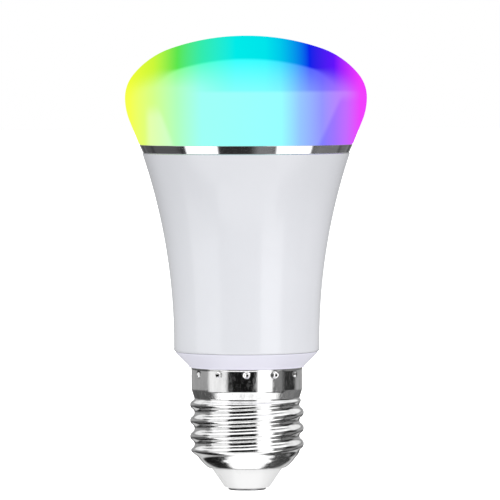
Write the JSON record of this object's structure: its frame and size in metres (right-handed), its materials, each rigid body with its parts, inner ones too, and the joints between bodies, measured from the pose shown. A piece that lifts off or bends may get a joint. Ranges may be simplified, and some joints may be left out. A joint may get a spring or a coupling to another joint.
{
  "type": "smart light bulb",
  "caption": "Colour LED light bulb with a glowing mushroom-shaped dome, a bright trim band, a flared white housing and a standard E27 screw cap.",
  "frame": {"origin": "middle of the centre contact's flat face, on the bulb's axis, at the bottom", "axes": "+Z along the bulb's axis from the cap to the dome; +X to the right and -Y towards the viewer in front"},
  "size_m": [0.0556, 0.0556, 0.1045],
  "materials": {
    "diffuser": "opal polycarbonate, lit from inside in a spread of colours",
    "trim_metal": "polished",
    "housing_white": "satin-gloss white",
    "collar_white": "satin white",
    "cap_nickel": "bright nickel plate, lightly brushed on the barrel",
    "insulator_white": "smooth white",
    "contact_metal": "dull tinned",
    "silicone": "soft, translucent white",
    "aluminium": "spun, satin",
    "thermal_pad": "matt grey",
    "led_board_mask": "white solder mask on aluminium",
    "screw_steel": "zinc plated",
    "led_body": "moulded white",
    "phosphor": "yellow silicone",
    "clear_resin": "clear resin",
    "radio_board_mask": "blue solder mask",
    "driver_board_mask": "green solder mask",
    "chip_black": "moulded black",
    "can_metal": "drawn can",
    "gold_copper": "gold-plated copper foil",
    "pin_metal": "tinned",
    "ferrite": "sintered dark grey",
    "bobbin_plastic": "moulded black",
    "winding_copper": "enamelled copper",
    "cap_sleeve": "dark blue shrink sleeve",
    "resistor_coat": "cement coat",
    "film_yellow": "moulded yellow",
    "varistor_blue": "epoxy coat",
    "ceramic_tan": "fired ceramic",
    "lead_red": "PVC insulation",
    "lead_blue": "PVC insulation"
  },
  "bodies": {
    "root": {"diffuser_dome": "diffuser", "trim_ring": "trim_metal", "housing_shell": "housing_white", "driver_case": "collar_white", "screw_shell": "cap_nickel", "cap_insulator": "insulator_white", "centre_contact": "contact_metal", "diffuser_sealant": "silicone", "heat_sink": "aluminium", "thermal_pad": "thermal_pad", "led_board": "led_board_mask", "led_board_screws": "screw_steel", "white_led_packages": "led_body", "white_led_phosphors": "phosphor", "colour_led_packages": "led_body", "colour_led_lenses": "clear_resin", "radio_board": "radio_board_mask", "radio_chip": "chip_black", "radio_memory": "chip_black", "radio_crystal": "can_metal", "radio_antenna": "gold_copper", "radio_pins": "pin_metal", "driver_board": "driver_board_mask", "transformer_core": "ferrite", "transformer_bobbin": "bobbin_plastic", "transformer_winding": "winding_copper", "capacitor_cans": "aluminium", "capacitor_sleeves": "cap_sleeve", "capacitor_leads": "pin_metal", "choke_core": "ferrite", "choke_winding": "winding_copper", "fuse_resistor": "resistor_coat", "fuse_resistor_leads": "pin_metal", "film_capacitor": "film_yellow", "varistor": "varistor_blue", "bridge_rectifier": "chip_black", "power_chip": "chip_black", "dimmer_chip": "chip_black", "output_diode": "chip_black", "chip_resistors": "chip_black", "chip_capacitors": "ceramic_tan", "link_header": "bobbin_plastic", "link_pins": "pin_metal", "live_lead_sleeve": "lead_red", "live_lead_wire": "winding_copper", "neutral_lead_sleeve": "lead_blue", "neutral_lead_wire": "winding_copper"}
  },
  "joints": []
}
